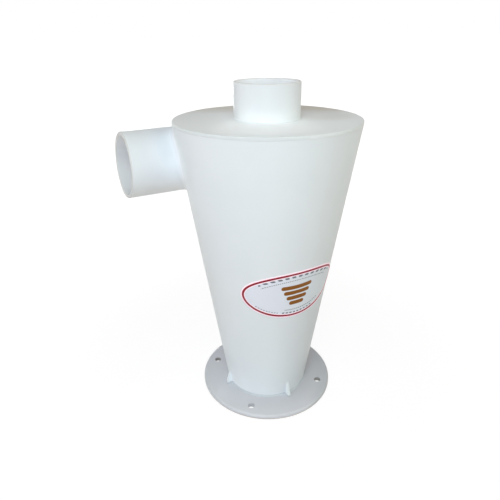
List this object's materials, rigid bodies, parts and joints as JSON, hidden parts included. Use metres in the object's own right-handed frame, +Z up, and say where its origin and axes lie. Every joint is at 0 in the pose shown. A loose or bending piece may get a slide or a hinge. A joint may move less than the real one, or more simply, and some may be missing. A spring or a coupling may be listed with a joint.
{
  "type": "cyclone separator",
  "caption": "Small cone-shaped dust cyclone with a tangential inlet pipe, a lid with an outlet tube, a bolted foot flange and small gussets.",
  "frame": {"origin": "centre of the flange's underside, on the cyclone's axis", "axes": "+Z up along the cyclone's axis, the inlet pipe runs along X with its mouth facing -X on the +Y side"},
  "size_m": [0.1711, 0.1412, 0.255],
  "materials": {
    "white_plastic": "satin, slightly milky white polypropylene",
    "lid_plastic": "satin white polypropylene, faintly greyer",
    "flange_plastic": "satin milky polypropylene, faintly blue",
    "sticker_film": null
  },
  "bodies": {
    "root": {"cone_shell": "white_plastic", "inlet_pipe": "white_plastic", "top_lid": "lid_plastic", "lid_locating_ring": "lid_plastic", "outlet_spigot": "white_plastic", "vortex_finder": "white_plastic", "base_flange": "flange_plastic", "sticker": "sticker_film", "gusset_right": "white_plastic", "gusset_back": "white_plastic", "gusset_left": "white_plastic", "gusset_front": "white_plastic"}
  },
  "joints": []
}
